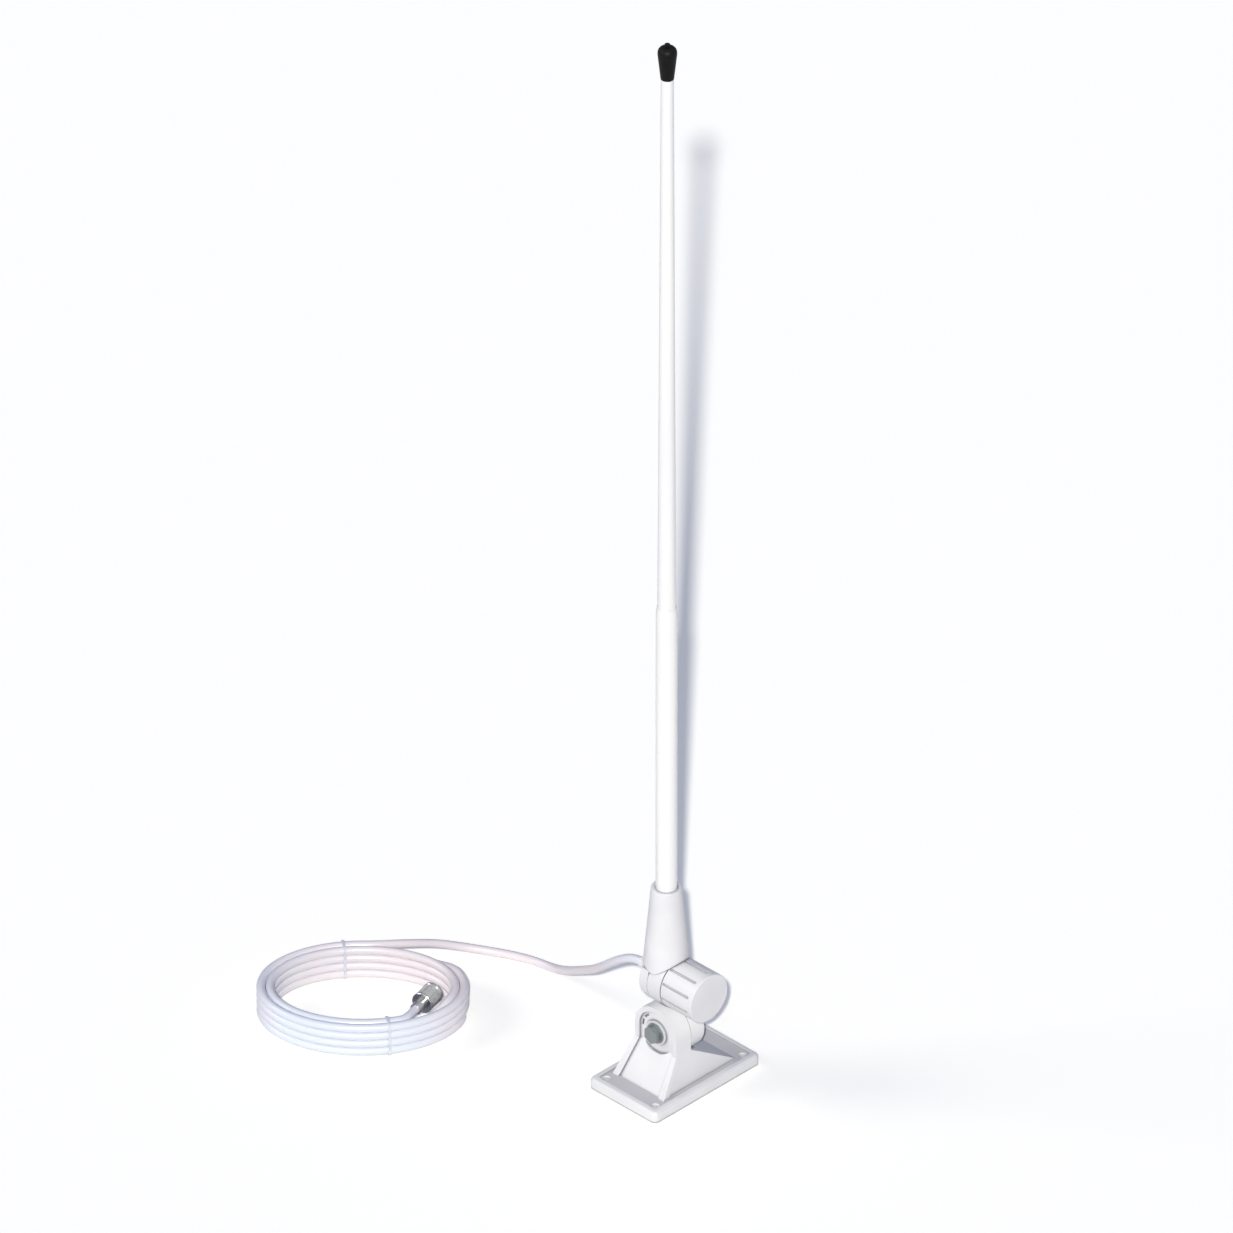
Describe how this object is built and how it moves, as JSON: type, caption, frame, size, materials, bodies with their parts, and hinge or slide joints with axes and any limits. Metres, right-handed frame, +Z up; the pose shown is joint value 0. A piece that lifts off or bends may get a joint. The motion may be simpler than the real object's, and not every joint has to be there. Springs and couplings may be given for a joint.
{
  "type": "marine vhf antenna",
  "caption": "White two-step whip antenna on a ratchet mount with a grooved clamp knob, and a tied coil of coaxial cable with a screw-on plug.",
  "frame": {"origin": "centre of the screw hole pattern on the base plate's underside", "axes": "+X along the plate's long side, -Y towards the clamp knob, +Z up along the whip"},
  "size_m": [0.246, 0.3509, 0.9684],
  "materials": {
    "moulded_white": "satin moulded nylon",
    "tube_white": "glossy white tube",
    "cap_black": "satin black",
    "steel": "stainless",
    "brass": "turned",
    "copper": "drawn wire",
    "inner_lead": "smooth",
    "former": "turned",
    "foam": "foam",
    "cable_jacket": "smooth white jacket",
    "tie": "translucent white",
    "nickel": "nickel plated",
    "insulator": "dark resin",
    "pin": "silver plated"
  },
  "bodies": {
    "base": {"base_bracket": "moulded_white", "pivot_bolt": "steel", "pivot_washer_front": "steel", "pivot_washer_rear": "steel", "pivot_nut": "steel", "cable_lead": "cable_jacket", "cable_coil": "cable_jacket", "cable_tail": "cable_jacket", "coil_tie_front": "tie", "coil_tie_rear": "tie", "plug_body": "nickel", "plug_reducer": "nickel", "plug_insulator": "insulator", "plug_pin": "pin"},
    "knuckle": {"knuckle": "moulded_white"},
    "whip": {"ferrule": "moulded_white", "clamp_bolt": "steel", "cable_gland": "moulded_white", "feed_lead": "inner_lead", "lower_tube": "tube_white", "upper_tube": "tube_white", "tip_cap": "cap_black", "coil_former": "former", "matching_coil": "copper", "radiator_wire": "copper", "wire_spacers": "foam"},
    "knob": {"knob": "moulded_white", "knob_washer": "steel", "knob_insert": "brass"},
    "ring": {"coupling_ring": "nickel"}
  },
  "joints": [
    {"name": "mount_tilt", "type": "hinge", "parent": "base", "child": "knuckle", "pos_m": [0, 0, 0.051], "axis": [1, 0, 0], "range_deg": [-75, 75], "deforming": ["cable_lead"]},
    {"name": "whip_fold", "type": "hinge", "parent": "knuckle", "child": "whip", "pos_m": [-0.004, 0, 0.0955], "axis": [0, 1, 0], "range_deg": [-90, 60]},
    {"name": "knob_turn", "type": "hinge", "parent": "knuckle", "child": "knob", "pos_m": [-0.004, -0.025, 0.0955], "axis": [0, 1, 0], "continuous": true},
    {"name": "ring_turn", "type": "hinge", "parent": "base", "child": "ring", "pos_m": [-0.106, 0.1829, 0.0263], "axis": [0.9677, 0.2521, 0], "continuous": true}
  ]
}
